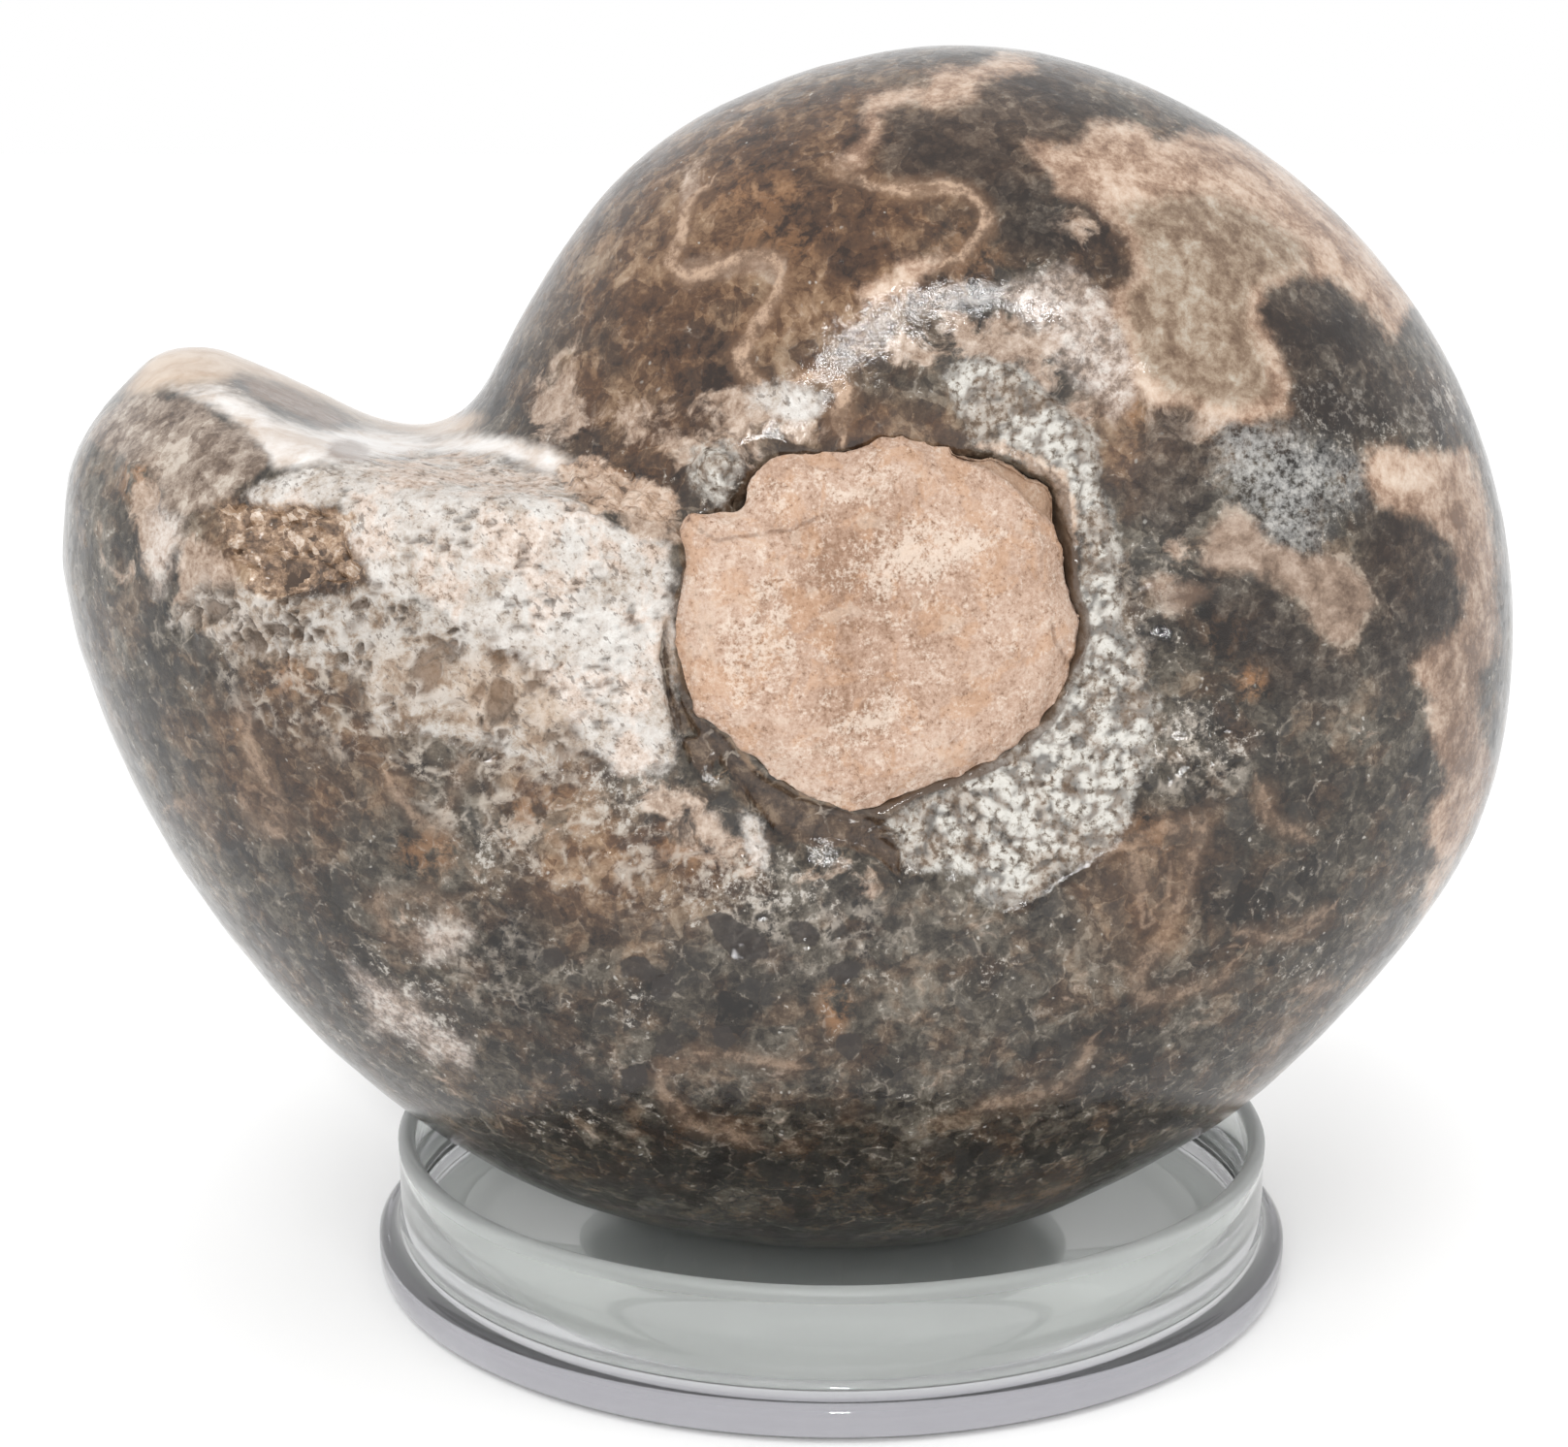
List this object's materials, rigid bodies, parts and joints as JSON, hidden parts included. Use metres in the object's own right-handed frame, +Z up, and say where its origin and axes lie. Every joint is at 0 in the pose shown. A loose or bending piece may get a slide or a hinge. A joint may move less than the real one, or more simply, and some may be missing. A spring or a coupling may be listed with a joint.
{
  "type": "vascoceras ammonite fossil",
  "caption": "Polished globose ammonite with sandstone filling its umbilicus and a broken open end, resting on a ground flat in a clear round display dish.",
  "frame": {"origin": "middle of the flat underside of the display dish", "axes": "+X from the shell's open end towards the opposite side of the coil, +Y along the coiling axis away from the front, +Z up"},
  "size_m": [0.0917, 0.06, 0.0777],
  "materials": {
    "polished_calcite": "polished, semi-gloss",
    "sandstone": "matte, fine grained",
    "clear_plastic": "clear moulded"
  },
  "bodies": {
    "root": {"ammonite": "polished_calcite", "matrix_plug_front": "sandstone", "matrix_plug_back": "sandstone", "display_dish": "clear_plastic"}
  },
  "joints": []
}
